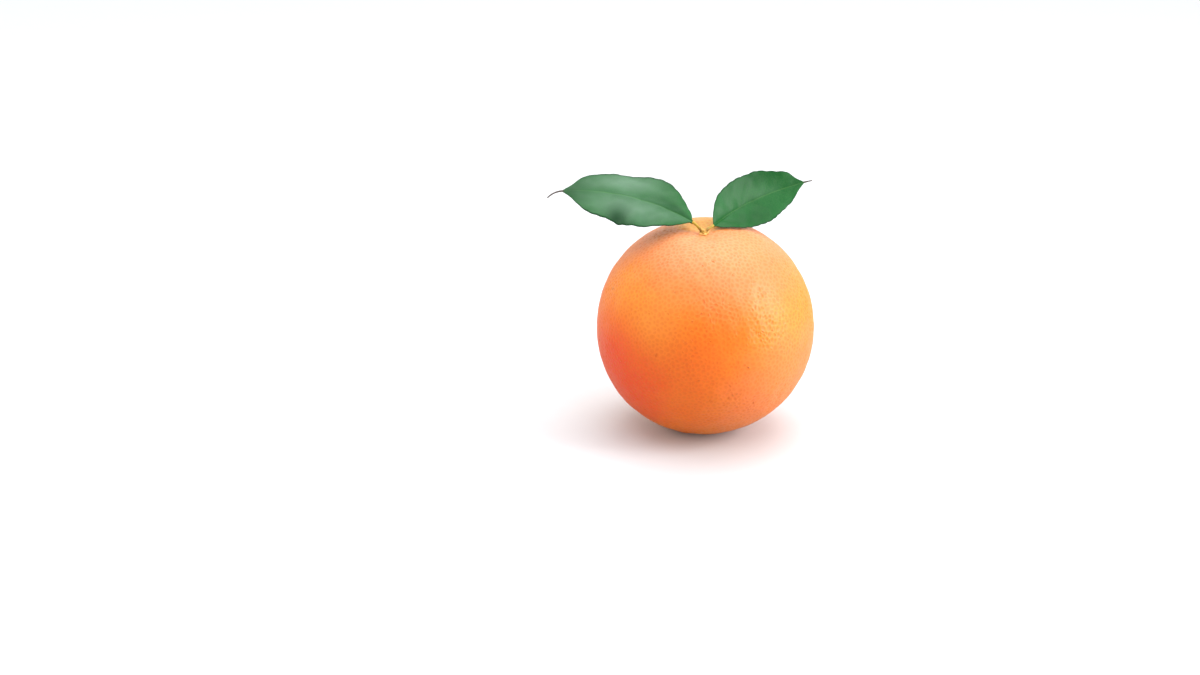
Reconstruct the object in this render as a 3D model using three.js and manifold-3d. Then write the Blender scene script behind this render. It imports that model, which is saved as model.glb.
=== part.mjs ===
// A whole grapefruit, picked with a stub of its twig and two leaves still on it.
// The origin is on its flat resting spot, under the middle of the fruit. +Z is up,
// +X runs from the left leaf to the right one, and the stem end leans towards -Y.
// Lengths are in millimetres and angles in degrees.
import * as THREE from "three";
import { ConvexHull } from "three/addons/math/ConvexHull.js";
import { mergeVertices } from "three/addons/utils/BufferGeometryUtils.js";
import Module from "manifold-3d";

const wasm = await Module();
wasm.setup();

// Driving dimensions

const fruit = {
  width: 110,
  height: 108.5,
  squareness: 2.05, // 2 would be an ellipsoid, and more gives the fruit shoulders
  unevenness: 0.35,
  flatSpotRadius: 9,
  leanTowardsViewer: 10,
  leanTowardsLeft: 1.6,
};

const stemBasin = {
  depth: 2.4,
  reach: 9,
  furrows: 9,
  furrowDepth: 0.4,
  furrowDistance: 9, // from the stem, along the peel
  furrowSpread: 5,
};

const blossomScar = { depth: 0.6, radius: 2.6 };

// Oil pits of the peel, larger and fewer than the real ones
const pits = { count: 1500, depth: 0.28, unevenDepth: 0.4, jitter: 0.17, seed: 11 };

const calyx = {
  lobes: 5,
  notchRadius: 1.9,
  lobeRadius: 2.6,
  thickness: 0.8,
  edgeThickness: 0.45,
  cupping: 0.03, // the underside climbs by this times the radius squared
  clearance: 0.35,
};

const twig = { radius: 1.45, footRadius: 1.8, footHeight: 0.4, length: 1, bevel: 0.2, clearance: 0.3 };

const petiole = {
  radius: 0.62,
  jointRadius: 0.75,
  fromAxis: 1.25, // where it leaves the twig
  fromFoot: 0.5,
  arch: 0.08, // share of its length
  gapToBlade: 0.35,
  steps: 8,
  sides: 8,
};

const blade = {
  thickness: 0.7,
  ribDepth: 0.6, // how far the midrib stands out underneath, at the base
  baseHalfWidth: 0.8,
  baseReach: 0.2, // share of the length over which the fold of the base fades
  tipFrom: 0.82,
  tailHalfWidth: 0.5,
  teeth: 13,
  toothDepth: 0.3,
  toothMiddle: 0.6, // share of a tooth's depth at which the plain margin runs
  smoothBelow: 2, // a half narrower than this has no waves, dips or teeth
  wavyFrom: 9, // and one wider than this has them in full
  dipsFrom: 0.3, // share of the way from the midrib to the margin at which dips begin
  rows: 52,
  columns: 8,
};

// Each leaf leaves its petiole at base. At its base it turns away from the viewer by yaw and
// climbs by rise. Sweep is added to the yaw along the blade, and droop is taken from the climb.
// A positive roll lowers the near edge, twist is added to it along the blade, and the folds lift
// each half from the plane of the midrib, the far one by baseFold more near the base. A half whose
// widest is below 1 is widest nearer the base, and a bluntness below 1 makes both ends blunter. The
// margins wave, each by its own height and phase, and the near one has dips. A half is wider at its
// swells, which give the blade its blunt shoulders before the tip. The places and spreads of dips
// and swells are shares of the blade's length. The tail is the dry drip tip past the blade.
const leaves = {
  left: {
    side: -1,
    base: [-7.5, -8.5, 111.1],
    length: 67.8,
    width: 35.4,
    nearWidest: 0.98,
    farWidest: 0.89,
    bluntness: 0.8,
    tipNarrowing: 0.34,
    yaw: 20.3,
    sweep: -18.4,
    rise: 23.2,
    droop: 28,
    roll: 21.5,
    twist: -8.8,
    nearFold: -12.4,
    farFold: 6.6,
    baseFold: 0,
    tail: 8.5,
    tailDroop: 40,
    waves: 1.97,
    nearWave: 0.4,
    farWave: 1.45,
    nearPhase: 241,
    farPhase: 243,
    dips: [
      { at: 0.3, spread: 0.06, depth: 1.1 },
      { at: 0.5, spread: 0.045, depth: 1.3 },
    ],
    nearSwells: [
      { at: 0.79, spread: 0.13, width: 2.8 },
      { at: 0.42, spread: 0.05, width: 0.8 },
    ],
    farSwells: [
      { at: 0.89, spread: 0.07, width: 2.6 },
      { at: 0.64, spread: 0.08, width: 0.8 },
    ],
  },
  right: {
    side: 1,
    base: [3.5, -6, 108.7],
    length: 60.6,
    width: 27.4,
    nearWidest: 0.83,
    farWidest: 0.86,
    bluntness: 0.67,
    tipNarrowing: 0.42,
    yaw: 56.5,
    sweep: -34.4,
    rise: 14.5,
    droop: 4.4,
    roll: 32.7,
    twist: 39,
    nearFold: 13.7,
    farFold: 17,
    baseFold: 17.8,
    tail: 4.5,
    tailDroop: 5,
    waves: 2.32,
    nearWave: 0.6,
    farWave: 0.5,
    nearPhase: 36,
    farPhase: 149,
    dips: [{ at: 0.4, spread: 0.08, depth: 0.4 }],
    nearSwells: [{ at: 0.5, spread: 0.1, width: 0.6 }],
    farSwells: [
      { at: 0.87, spread: 0.05, width: 1.1 },
      { at: 0.61, spread: 0.06, width: 0.7 },
      { at: 0.17, spread: 0.08, width: 0.6 },
    ],
  },
};

const finishes = {
  peel: new THREE.MeshStandardMaterial({ color: 0xf79a52, roughness: 0.42 }),
  calyx: new THREE.MeshStandardMaterial({ color: 0xc9b04c, roughness: 0.75 }),
  stalk: new THREE.MeshStandardMaterial({ color: 0xb9a146, roughness: 0.65 }),
  leaf: new THREE.MeshStandardMaterial({ color: 0x3f7d4a, roughness: 0.4 }),
};

// Shared helpers

const radians = THREE.MathUtils.degToRad;
const smoothstep = THREE.MathUtils.smoothstep;
const goldenAngle = Math.PI * (3 - Math.sqrt(5));

// The same numbers from 0 to 1 on every run
function seededRandom(seed) {
  let state = seed;
  return () => {
    state = (state * 1664525 + 1013904223) % 4294967296;
    return state / 4294967296;
  };
}

// A closed geometry as a solid that can be joined and cut
function solidOf(geometry) {
  const bare = geometry.clone();
  bare.deleteAttribute("normal");
  bare.deleteAttribute("uv");
  const merged = mergeVertices(bare, 1e-4);
  return new wasm.Manifold(
    new wasm.Mesh({
      numProp: 3,
      vertProperties: new Float32Array(merged.attributes.position.array),
      triVerts: new Uint32Array(merged.index.array),
    }),
  );
}

function geometryOf(solid) {
  const { vertProperties, triVerts } = solid.getMesh();
  const geometry = new THREE.BufferGeometry();
  geometry.setAttribute("position", new THREE.BufferAttribute(vertProperties, 3));
  geometry.setIndex(new THREE.BufferAttribute(triVerts, 1));
  geometry.computeVertexNormals();
  return geometry;
}

function geometryFrom(points, triangles) {
  const geometry = new THREE.BufferGeometry().setFromPoints(points);
  geometry.setIndex(triangles);
  geometry.computeVertexNormals();
  return geometry;
}

function namedMesh(name, geometry, finish) {
  const mesh = new THREE.Mesh(geometry, finish);
  mesh.name = name;
  return mesh;
}

// The fruit

// How the fruit stands: its own +Z, towards the stem, leans to the viewer and a little left
const stemAxis = new THREE.Vector3(
  -Math.tan(radians(fruit.leanTowardsLeft)),
  -Math.tan(radians(fruit.leanTowardsViewer)),
  1,
).normalize();
const fruitLean = new THREE.Quaternion().setFromUnitVectors(
  new THREE.Vector3(0, 0, 1),
  stemAxis,
);

// Distance from the fruit's middle to its peel, in a direction of the fruit's own frame
function peelRadius(direction) {
  const { width, height, squareness } = fruit;
  const across = Math.hypot(direction.x, direction.y);
  const body =
    ((across / (width / 2)) ** squareness +
      (Math.abs(direction.z) / (height / 2)) ** squareness) **
    (-1 / squareness);
  const turn = Math.atan2(direction.y, direction.x);
  const fromStem = (Math.atan2(across, direction.z) * width) / 2;
  const fromBlossom = (Math.atan2(across, -direction.z) * width) / 2;
  const swelling =
    Math.sin(2.6 * direction.x + 1.1) * Math.cos(2.2 * direction.y - 0.5) +
    0.6 * Math.sin(3.4 * direction.z + 2 * direction.x);
  const basin = Math.exp(-((fromStem / stemBasin.reach) ** 2));
  const furrowBand = Math.exp(
    -(((fromStem - stemBasin.furrowDistance) / stemBasin.furrowSpread) ** 2),
  );
  const furrow = 0.5 + 0.5 * Math.cos(stemBasin.furrows * turn + Math.sin(2 * turn));
  const scar = Math.exp(-((fromBlossom / blossomScar.radius) ** 2));
  return (
    body +
    fruit.unevenness * swelling -
    stemBasin.depth * basin -
    stemBasin.furrowDepth * furrowBand * furrow -
    blossomScar.depth * scar
  );
}

const downInFruit = new THREE.Vector3(0, 0, -1).applyQuaternion(fruitLean.clone().invert());
const fruitCentre = new THREE.Vector3(
  0,
  0,
  peelRadius(downInFruit) - fruit.flatSpotRadius ** 2 / fruit.width,
);
const stemEnd = fruitCentre
  .clone()
  .addScaledVector(stemAxis, peelRadius(new THREE.Vector3(0, 0, 1)));

// One direction for each pit, spread evenly over the fruit and nudged at random
function pitDirections() {
  const random = seededRandom(pits.seed);
  const spacing = Math.sqrt((4 * Math.PI) / pits.count);
  const nudge = () => (2 * random() - 1) * pits.jitter * spacing;
  const directions = [];
  for (let k = 0; k < pits.count; k += 1) {
    const height = 1 - (2 * k + 1) / pits.count;
    const across = Math.sqrt(1 - height * height);
    const turn = k * goldenAngle;
    directions.push(
      new THREE.Vector3(
        across * Math.cos(turn) + nudge(),
        across * Math.sin(turn) + nudge(),
        height + nudge(),
      ).normalize(),
    );
  }
  return directions;
}

// The hull of the directions joins each pit to its neighbours. The middles of the hull's faces
// are the land between pits, and each pit is a fan of triangles down from the middles round it.
function peelGeometry() {
  const hull = new ConvexHull().setFromPoints(pitDirections());
  const random = seededRandom(pits.seed + 1);
  const points = [];
  const pitIndex = new Map();
  const landIndex = new Map();
  const place = (direction, sunk) => {
    const radius = peelRadius(direction) - sunk;
    points.push(
      direction.clone().applyQuaternion(fruitLean).multiplyScalar(radius).add(fruitCentre),
    );
    return points.length - 1;
  };
  for (const face of hull.faces) {
    landIndex.set(face, place(face.midpoint.clone().normalize(), 0));
  }
  const indexOfPit = (vertex) => {
    if (!pitIndex.has(vertex)) {
      const depth = pits.depth * (1 + pits.unevenDepth * (2 * random() - 1));
      pitIndex.set(vertex, place(vertex.point, depth));
    }
    return pitIndex.get(vertex);
  };
  const triangles = [];
  for (const face of hull.faces) {
    let edge = face.edge;
    do {
      const pit = indexOfPit(edge.tail());
      triangles.push(pit, landIndex.get(edge.twin.face), landIndex.get(face));
      edge = edge.next;
    } while (edge !== face.edge);
  }
  return geometryFrom(points, triangles);
}

function makeFruit() {
  const slab = new THREE.BoxGeometry(2 * fruit.width, 2 * fruit.width, fruit.width);
  slab.translate(0, 0, -fruit.width / 2);
  const rested = solidOf(peelGeometry()).subtract(solidOf(slab));
  return namedMesh("fruit", geometryOf(rested), finishes.peel);
}

// The calyx: a five-lobed button that sits in the stem basin

function makeCalyx() {
  const turns = 30;
  const shares = [0.45, 0.8, 1];
  const points = [
    new THREE.Vector3(0, 0, calyx.clearance),
    new THREE.Vector3(0, 0, calyx.clearance + calyx.thickness),
  ];
  for (let i = 0; i < turns; i += 1) {
    const turn = (2 * Math.PI * i) / turns;
    const lobe = 0.5 + 0.5 * Math.cos(calyx.lobes * turn);
    const reach = THREE.MathUtils.lerp(calyx.notchRadius, calyx.lobeRadius, lobe);
    for (const share of shares) {
      const radius = reach * share;
      const under = calyx.clearance + calyx.cupping * radius * radius;
      const thickness = THREE.MathUtils.lerp(calyx.thickness, calyx.edgeThickness, share);
      const [x, y] = [radius * Math.cos(turn), radius * Math.sin(turn)];
      points.push(new THREE.Vector3(x, y, under), new THREE.Vector3(x, y, under + thickness));
    }
  }
  const at = (i, ring, top) => 2 + 2 * ((i % turns) * shares.length + ring) + top;
  const last = shares.length - 1;
  const triangles = [];
  for (let i = 0; i < turns; i += 1) {
    triangles.push(0, at(i + 1, 0, 0), at(i, 0, 0));
    triangles.push(1, at(i, 0, 1), at(i + 1, 0, 1));
    for (let ring = 0; ring < last; ring += 1) {
      const under = [at(i, ring, 0), at(i + 1, ring, 0), at(i + 1, ring + 1, 0), at(i, ring + 1, 0)];
      const over = [at(i, ring, 1), at(i, ring + 1, 1), at(i + 1, ring + 1, 1), at(i + 1, ring, 1)];
      for (const [a, b, c, d] of [under, over]) triangles.push(a, b, c, a, c, d);
    }
    const [a, b] = [at(i, last, 0), at(i + 1, last, 0)];
    const [c, d] = [at(i + 1, last, 1), at(i, last, 1)];
    triangles.push(a, b, c, a, c, d);
  }
  const mesh = namedMesh("calyx", geometryFrom(points, triangles), finishes.calyx);
  mesh.position.copy(stemEnd);
  mesh.quaternion.copy(fruitLean);
  return mesh;
}

// The leaves

// How far along its tail a leaf is, from 0 to 1, at share u of the blade's length
const tailShare = (leaf, u) => (Math.max(0, u - 1) * leaf.length) / leaf.tail;

// A unit vector along the midrib, at share u of the blade's length
function alongMidrib(leaf, u) {
  const yaw = radians(leaf.yaw + leaf.sweep * u);
  const rise = radians(leaf.rise - leaf.droop * u - leaf.tailDroop * tailShare(leaf, u));
  return new THREE.Vector3(
    leaf.side * Math.cos(yaw) * Math.cos(rise),
    Math.sin(yaw) * Math.cos(rise),
    Math.sin(rise),
  );
}

// The midrib as rows of a point with unit vectors along it, to its near side and up
function midribRows(leaf) {
  const step = (leaf.length + leaf.tail) / blade.rows;
  const point = new THREE.Vector3();
  const rows = [];
  for (let i = 0; i <= blade.rows; i += 1) {
    const u = (i * step) / leaf.length;
    const along = alongMidrib(leaf, u);
    const near = new THREE.Vector3()
      .crossVectors(along, new THREE.Vector3(0, 0, leaf.side))
      .normalize();
    const up = new THREE.Vector3().crossVectors(near, along).multiplyScalar(leaf.side);
    const roll = radians(leaf.roll + leaf.twist * u);
    const rolledNear = near
      .clone()
      .multiplyScalar(Math.cos(roll))
      .addScaledVector(up, -Math.sin(roll));
    const rolledUp = up
      .clone()
      .multiplyScalar(Math.cos(roll))
      .addScaledVector(near, Math.sin(roll));
    rows.push({ u, point: point.clone(), near: rolledNear, up: rolledUp });
    point.addScaledVector(alongMidrib(leaf, u + (0.5 * step) / leaf.length), step);
  }
  return rows;
}

const bell = (u, { at, spread }) => Math.exp(-(((u - at) / spread) ** 2));
const broadness = (width) => smoothstep(width, blade.smoothBelow, blade.wavyFrom);

// The width of one half: an oval that narrows to its tail, with blunt teeth on its margin
function halfWidth(leaf, u, isNear) {
  const inBlade = THREE.MathUtils.clamp(u, 0, 1) ** (isNear ? leaf.nearWidest : leaf.farWidest);
  const oval = Math.max(0, Math.sin(Math.PI * inBlade)) ** leaf.bluntness;
  const narrowing = 1 - leaf.tipNarrowing * smoothstep(u, blade.tipFrom, 1);
  let body = (leaf.width / 2) * oval * narrowing;
  for (const swell of isNear ? leaf.nearSwells : leaf.farSwells) body += swell.width * bell(u, swell);
  const toothShape = Math.abs(Math.sin(Math.PI * blade.teeth * u)) - blade.toothMiddle;
  const toothed = body + blade.toothDepth * toothShape * broadness(body);
  const tail = blade.tailHalfWidth * (1 - 0.5 * tailShare(leaf, u));
  return Math.max(toothed, u < 0.5 ? blade.baseHalfWidth : tail);
}

// A point of the blade's middle surface: v is -1 at the far margin and 1 at the near one
function bladePoint(leaf, row, v) {
  const isNear = v > 0;
  const width = halfWidth(leaf, row.u, isNear);
  const reach = width * Math.abs(v);
  const nearBase = bell(row.u, { at: 0, spread: blade.baseReach });
  const fold = radians(isNear ? leaf.nearFold : leaf.farFold + leaf.baseFold * nearBase);
  const phase = radians(isNear ? leaf.nearPhase : leaf.farPhase);
  const height = isNear ? leaf.nearWave : leaf.farWave;
  const wave = height * v * v * Math.sin(2 * Math.PI * leaf.waves * row.u + phase);
  let sunk = 0;
  for (const dip of leaf.dips) sunk += dip.depth * bell(row.u, dip);
  const lift = (wave - sunk * smoothstep(v, blade.dipsFrom, 1)) * broadness(width);
  return row.point
    .clone()
    .addScaledVector(row.near, Math.sign(v) * reach * Math.cos(fold))
    .addScaledVector(row.up, reach * Math.sin(fold) + lift);
}

// Upper and lower faces are split into triangles alike, and a rim joins them
function bladeGeometry(leaf) {
  const { rows, columns } = blade;
  const ribs = midribRows(leaf);
  const points = [];
  for (const face of [1, -1]) {
    ribs.forEach((row) => {
      for (let j = 0; j <= columns; j += 1) {
        const v = (2 * j) / columns - 1;
        const rib = face < 0 && v === 0 ? blade.ribDepth * Math.max(0.2, 1 - row.u) : 0;
        const offset = (face * blade.thickness) / 2 - rib;
        points.push(bladePoint(leaf, row, v).addScaledVector(row.up, offset));
      }
    });
  }
  const at = (under, i, j) => (under * (rows + 1) + i) * (columns + 1) + j;
  const triangles = [];
  const quad = (a, b, c, d) => {
    if (leaf.side > 0) triangles.push(a, b, c, a, c, d);
    else triangles.push(a, c, b, a, d, c);
  };
  for (let i = 0; i < rows; i += 1) {
    for (let j = 0; j < columns; j += 1) {
      quad(at(0, i, j), at(0, i, j + 1), at(0, i + 1, j + 1), at(0, i + 1, j));
      const [a, b, c, d] = [at(1, i, j), at(1, i + 1, j), at(1, i + 1, j + 1), at(1, i, j + 1)];
      quad(a, b, c, d);
    }
    quad(at(0, i + 1, 0), at(1, i + 1, 0), at(1, i, 0), at(0, i, 0));
    quad(at(0, i, columns), at(1, i, columns), at(1, i + 1, columns), at(0, i + 1, columns));
  }
  for (let j = 0; j < columns; j += 1) {
    quad(at(0, 0, j), at(1, 0, j), at(1, 0, j + 1), at(0, 0, j + 1));
    quad(at(0, rows, j + 1), at(1, rows, j + 1), at(1, rows, j), at(0, rows, j));
  }
  return geometryFrom(points, triangles);
}

function makeLeaf(name, leaf) {
  const mesh = namedMesh(name, bladeGeometry(leaf), finishes.leaf);
  mesh.position.set(...leaf.base);
  return mesh;
}

// The stalk: a stub of twig with a petiole bent to each leaf, grown as one

const twigFoot = calyx.clearance + calyx.thickness + twig.clearance;

function twigGeometry() {
  const profile = [
    [0, 0],
    [twig.footRadius, 0],
    [twig.radius, twig.footHeight],
    [twig.radius, twig.length - twig.bevel],
    [twig.radius - twig.bevel, twig.length],
    [0, twig.length],
  ];
  const stub = new THREE.LatheGeometry(
    profile.map(([radius, height]) => new THREE.Vector2(radius, height)),
    12,
  );
  stub.rotateX(Math.PI / 2);
  stub.translate(0, 0, twigFoot);
  return stub.applyQuaternion(fruitLean);
}

// A petiole leaves the twig's side, bends over and ends in the joint that carries the blade
function petioleSolid(leaf) {
  const heading = alongMidrib(leaf, 0);
  const end = new THREE.Vector3(...leaf.base)
    .sub(stemEnd)
    .addScaledVector(heading, -petiole.gapToBlade - petiole.jointRadius);
  const start = stemAxis.clone().multiplyScalar(twigFoot + petiole.fromFoot);
  start.x += leaf.side * petiole.fromAxis;
  const bend = start
    .clone()
    .lerp(end, 0.5)
    .addScaledVector(stemAxis, petiole.arch * start.distanceTo(end));
  const disc = new THREE.Shape().absarc(0, 0, petiole.radius, 0, 2 * Math.PI);
  const tube = new THREE.ExtrudeGeometry(disc, {
    steps: petiole.steps,
    curveSegments: petiole.sides,
    extrudePath: new THREE.QuadraticBezierCurve3(start, bend, end),
  });
  const joint = new THREE.SphereGeometry(petiole.jointRadius, 10, 8);
  joint.translate(end.x, end.y, end.z);
  return solidOf(tube).add(solidOf(joint));
}

function makeStalk() {
  const stalk = solidOf(twigGeometry())
    .add(petioleSolid(leaves.left))
    .add(petioleSolid(leaves.right));
  const mesh = namedMesh("stalk", geometryOf(stalk), finishes.stalk);
  mesh.position.copy(stemEnd);
  return mesh;
}

const grapefruit = new THREE.Group();
grapefruit.add(
  makeFruit(),
  makeCalyx(),
  makeStalk(),
  makeLeaf("leaf_left", leaves.left),
  makeLeaf("leaf_right", leaves.right),
);

export default grapefruit;
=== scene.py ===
# A whole grapefruit with a stub of its twig and two leaves, dressed over its solid model.
# Shapes are worked out in millimetres, and stored in metres as each mesh is made.
import math

import bmesh
import bpy
import numpy as np
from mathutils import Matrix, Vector


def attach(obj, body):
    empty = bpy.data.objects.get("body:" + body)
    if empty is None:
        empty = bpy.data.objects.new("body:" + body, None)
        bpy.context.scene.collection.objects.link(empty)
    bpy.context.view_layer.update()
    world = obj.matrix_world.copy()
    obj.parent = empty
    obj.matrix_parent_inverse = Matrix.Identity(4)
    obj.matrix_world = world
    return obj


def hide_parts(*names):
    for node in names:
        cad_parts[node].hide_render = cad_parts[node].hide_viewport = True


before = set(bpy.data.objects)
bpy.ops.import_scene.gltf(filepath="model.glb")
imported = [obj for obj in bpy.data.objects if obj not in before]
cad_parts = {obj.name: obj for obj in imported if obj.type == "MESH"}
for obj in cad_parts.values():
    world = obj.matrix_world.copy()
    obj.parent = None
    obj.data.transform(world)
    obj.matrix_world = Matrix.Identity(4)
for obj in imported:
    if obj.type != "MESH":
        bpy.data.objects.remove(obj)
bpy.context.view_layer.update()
print("solid model loaded:", ", ".join(sorted(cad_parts)))

mm = 0.001
up = np.array([0.0, 0.0, 1.0])


# Small helpers for shapes

def smoothstep(value, low, high):
    share = np.clip((value - low) / (high - low), 0, 1)
    return share * share * (3 - 2 * share)


def unit(vectors):
    return vectors / np.linalg.norm(vectors, axis=-1, keepdims=True)


def meshPiece(name, points, faces, attributes=None):
    mesh = bpy.data.meshes.new(name)
    mesh.from_pydata((np.asarray(points) * mm).tolist(), [], faces)
    for key, values in (attributes or {}).items():
        kind = "FLOAT_VECTOR" if np.ndim(values) == 2 else "FLOAT"
        field = "vector" if kind == "FLOAT_VECTOR" else "value"
        layer = mesh.attributes.new(key, kind, "POINT")
        layer.data.foreach_set(field, np.asarray(values, np.float32).ravel())
    mesh.shade_smooth()
    piece = bpy.data.objects.new(name, mesh)
    bpy.context.scene.collection.objects.link(piece)
    return piece


def dress(piece, material, node):
    piece.data.materials.append(material)
    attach(piece, "root")
    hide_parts(node)


# Small helpers for materials

def linear(hexColour):
    shares = [int(hexColour[i:i + 2], 16) / 255 for i in (1, 3, 5)]
    return [s / 12.92 if s <= 0.04045 else ((s + 0.055) / 1.055) ** 2.4 for s in shares] + [1]


class Nodes:
    # A node tree with short calls: a value given for a socket is either a number or another socket
    def __init__(self, tree):
        self.tree = tree

    def add(self, kind, inputs=None, **settings):
        node = self.tree.nodes.new(kind)
        for key, value in settings.items():
            setattr(node, key, value)
        self.fill(node, inputs or {})
        return node

    def fill(self, node, inputs):
        for key, value in inputs.items():
            if isinstance(value, bpy.types.NodeSocket):
                self.tree.links.new(value, node.inputs[key])
            else:
                node.inputs[key].default_value = value

    def math(self, operation, *values):
        return self.add("ShaderNodeMath", dict(enumerate(values)), operation=operation).outputs[0]

    def noise(self, vector, scale, detail=2.0, roughness=0.5, distortion=0.0):
        inputs = {"Vector": vector, "Scale": scale, "Detail": detail,
                  "Roughness": roughness, "Distortion": distortion}
        return self.add("ShaderNodeTexNoise", inputs).outputs["Fac"]

    def rescale(self, value, low, high, newLow=0.0, newHigh=1.0):
        inputs = {"Value": value, "From Min": low, "From Max": high,
                  "To Min": newLow, "To Max": newHigh}
        return self.add("ShaderNodeMapRange", inputs, interpolation_type="SMOOTHSTEP").outputs[0]

    # Sockets 6 and 7 of a mix node are its two colours, and output 2 is its colour
    def mix(self, share, first, second):
        return self.add("ShaderNodeMix", {0: share, 6: first, 7: second}, data_type="RGBA").outputs[2]

    # Lays a colour over another, by a share times a mask
    def tint(self, mask, share, colour, over):
        return self.mix(self.math("MULTIPLY", mask, share), colour, linear(over))

    def attribute(self, name, output="Fac"):
        return self.add("ShaderNodeAttribute", attribute_name=name).outputs[output]

    def place(self):
        return self.add("ShaderNodeTexCoord").outputs["Object"]


def newGroup(name, inputs, outputs):
    tree = bpy.data.node_groups.new(name, "ShaderNodeTree")
    for label, kind in inputs:
        tree.interface.new_socket(label, in_out="INPUT", socket_type="NodeSocket" + kind)
    for label, kind in outputs:
        tree.interface.new_socket(label, in_out="OUTPUT", socket_type="NodeSocket" + kind)
    nodes = Nodes(tree)
    return nodes, nodes.add("NodeGroupInput").outputs, nodes.add("NodeGroupOutput").inputs


def newMaterial(name):
    material = bpy.data.materials.new(name)
    material.use_nodes = True
    nodes = Nodes(material.node_tree)
    shader = material.node_tree.nodes["Principled BSDF"]
    return material, nodes, shader


def useGroup(nodes, group, **inputs):
    return nodes.add("ShaderNodeGroup", inputs, node_tree=group).outputs


# Shared effects, each a node group placed in every material that shows it

# Broad and fine patches, as colour varies over anything that grew
def makeMottleGroup():
    nodes, inputs, outputs = newGroup(
        "mottle",
        [("Place", "Vector"), ("Patches", "Float"), ("Flecks", "Float")],
        [("Patch", "Float"), ("Fleck", "Float")],
    )
    patches = nodes.noise(inputs["Place"], inputs["Patches"], detail=3, distortion=0.4)
    flecks = nodes.noise(inputs["Place"], inputs["Flecks"], detail=2, roughness=0.6)
    link = nodes.tree.links.new
    link(nodes.rescale(patches, 0.34, 0.66), outputs["Patch"])
    link(nodes.rescale(flecks, 0.4, 0.62), outputs["Fleck"])
    return nodes.tree


# A soft-edged patch round one direction from the fruit's middle, with a ragged margin
def makeCheekGroup():
    nodes, inputs, outputs = newGroup(
        "cheek",
        [("Direction", "Vector"), ("Towards", "Vector"), ("Core", "Float"), ("Edge", "Float"),
         ("Ragged", "Float")],
        [("Mask", "Float")],
    )
    facing = nodes.add("ShaderNodeVectorMath", {0: inputs["Direction"], 1: inputs["Towards"]},
                       operation="DOT_PRODUCT").outputs["Value"]
    wander = nodes.noise(inputs["Direction"], 3.2, detail=4, roughness=0.6)
    wander = nodes.math("MULTIPLY", nodes.math("SUBTRACT", wander, 0.5), inputs["Ragged"])
    facing = nodes.math("ADD", facing, wander)
    mask = nodes.rescale(facing, inputs["Edge"], inputs["Core"])
    nodes.tree.links.new(mask, outputs["Mask"])
    return nodes.tree


# The finest relief, pores or grain, as a normal
def makeGrainGroup():
    nodes, inputs, outputs = newGroup(
        "fineGrain",
        [("Place", "Vector"), ("Scale", "Float"), ("Strength", "Float"), ("Depth", "Float")],
        [("Normal", "Vector")],
    )
    grain = nodes.noise(inputs["Place"], inputs["Scale"], detail=3, roughness=0.6)
    bump = nodes.add("ShaderNodeBump", {"Strength": inputs["Strength"], "Height": grain,
                                        "Distance": inputs["Depth"]})
    nodes.tree.links.new(bump.outputs["Normal"], outputs["Normal"])
    return nodes.tree


mottleGroup = makeMottleGroup()
cheekGroup = makeCheekGroup()
grainGroup = makeGrainGroup()
print("shared effects ready: mottle, cheek, fine grain")


# The fruit: its body as in the solid model, with every oil pit of the peel modelled

fruit = {
    "width": 110,
    "height": 108.5,
    "squareness": 2.05,
    "unevenness": 0.35,
    "flatSpotRadius": 9,
    "leanTowardsViewer": 10,
    "leanTowardsLeft": 1.6,
    "basin": {"depth": 2.4, "reach": 9},
    "furrows": {"count": 9, "depth": 0.4, "distance": 9, "spread": 5},
    "scar": {"depth": 0.6, "radius": 2.6},
    "pits": 7800,
    "pitJitter": 0.46,          # share of the distance between pits
    "pitDepth": (0.14, 0.42),
    "pitMouth": (0.4, 0.72),    # share of the way from a pit's middle to the land between pits
    "rimDepth": 0.3,            # share of a pit's depth that its rim has
    "shallowest": 0.45,         # share of the depth left where the peel is smoothest
    "coarseWaves": 8,           # slow waves that make the peel coarser here and smoother there
    "coarsePitch": 34,
    "coarseFrom": -0.5,
    "coarseTo": 1.5,
    "landUnevenness": 0.02,
    "ripples": 20,              # long low waves over the peel
    "rippleHeight": 0.02,
    "ripplePitch": 9,
    "seed": 7,
}

stemAxis = Vector((-math.tan(math.radians(fruit["leanTowardsLeft"])),
                   -math.tan(math.radians(fruit["leanTowardsViewer"])), 1)).normalized()
fruitLean = np.array(Vector((0, 0, 1)).rotation_difference(stemAxis).to_matrix())


# Distance from the fruit's middle to its peel, for directions in the fruit's own frame
def peelRadius(directions):
    x, y, z = directions.T
    halfWidth, halfHeight, power = fruit["width"] / 2, fruit["height"] / 2, fruit["squareness"]
    across = np.hypot(x, y)
    body = ((across / halfWidth) ** power + (np.abs(z) / halfHeight) ** power) ** (-1 / power)
    fromStem = np.arctan2(across, z) * halfWidth
    fromBlossom = np.arctan2(across, -z) * halfWidth
    swelling = np.sin(2.6 * x + 1.1) * np.cos(2.2 * y - 0.5) + 0.6 * np.sin(3.4 * z + 2 * x)
    basin, furrows, scar = fruit["basin"], fruit["furrows"], fruit["scar"]
    turn = np.arctan2(y, x)
    furrow = 0.5 + 0.5 * np.cos(furrows["count"] * turn + np.sin(2 * turn))
    band = np.exp(-(((fromStem - furrows["distance"]) / furrows["spread"]) ** 2))
    return (body + fruit["unevenness"] * swelling
            - basin["depth"] * np.exp(-((fromStem / basin["reach"]) ** 2))
            - furrows["depth"] * band * furrow
            - scar["depth"] * np.exp(-((fromBlossom / scar["radius"]) ** 2)))


downInFruit = fruitLean.T @ -up
flatSpotDepth = fruit["flatSpotRadius"] ** 2 / fruit["width"]
fruitCentre = up * (peelRadius(downInFruit[None])[0] - flatSpotDepth)
stemEnd = fruitCentre + np.array(stemAxis) * peelRadius(up[None])[0]


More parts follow.
